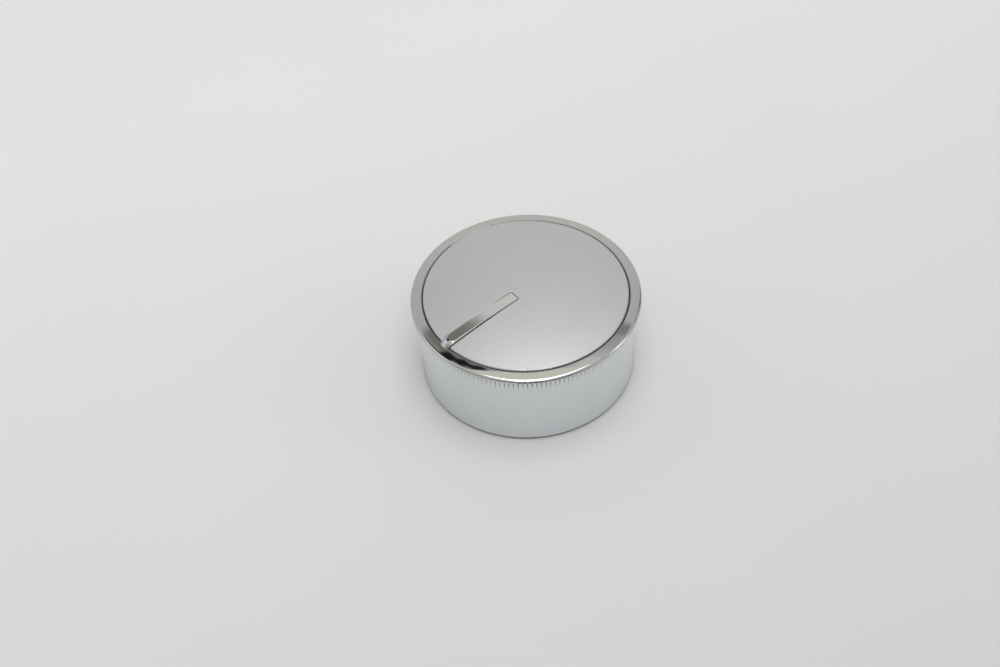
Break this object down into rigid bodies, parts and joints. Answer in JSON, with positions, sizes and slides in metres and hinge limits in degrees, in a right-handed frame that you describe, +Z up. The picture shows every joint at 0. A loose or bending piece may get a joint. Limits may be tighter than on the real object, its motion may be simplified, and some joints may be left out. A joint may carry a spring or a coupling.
{
  "type": "control knob",
  "caption": "Round push-on control knob with a domed face, plated rim, raised radial pointer and flared fluted skirt, on a split socket for a shaft with one flat.",
  "frame": {"origin": "centre of the foot, in the plane that the foot stands on", "axes": "+Z runs up the shaft's line and out of the face, +Y is the way the pointer points"},
  "size_m": [0.05, 0.05, 0.0229],
  "materials": {
    "skirt": "satin silver coat on moulded plastic",
    "rim": "bright plated plastic",
    "face": "satin silver coat on moulded plastic",
    "core": "moulded, fine matt",
    "clip": "rolled spring strip"
  },
  "bodies": {
    "root": {"skirt_shell": "skirt", "chrome_rim": "rim", "face_disc": "face", "hub_core": "core", "shaft_clip": "clip"}
  },
  "joints": []
}
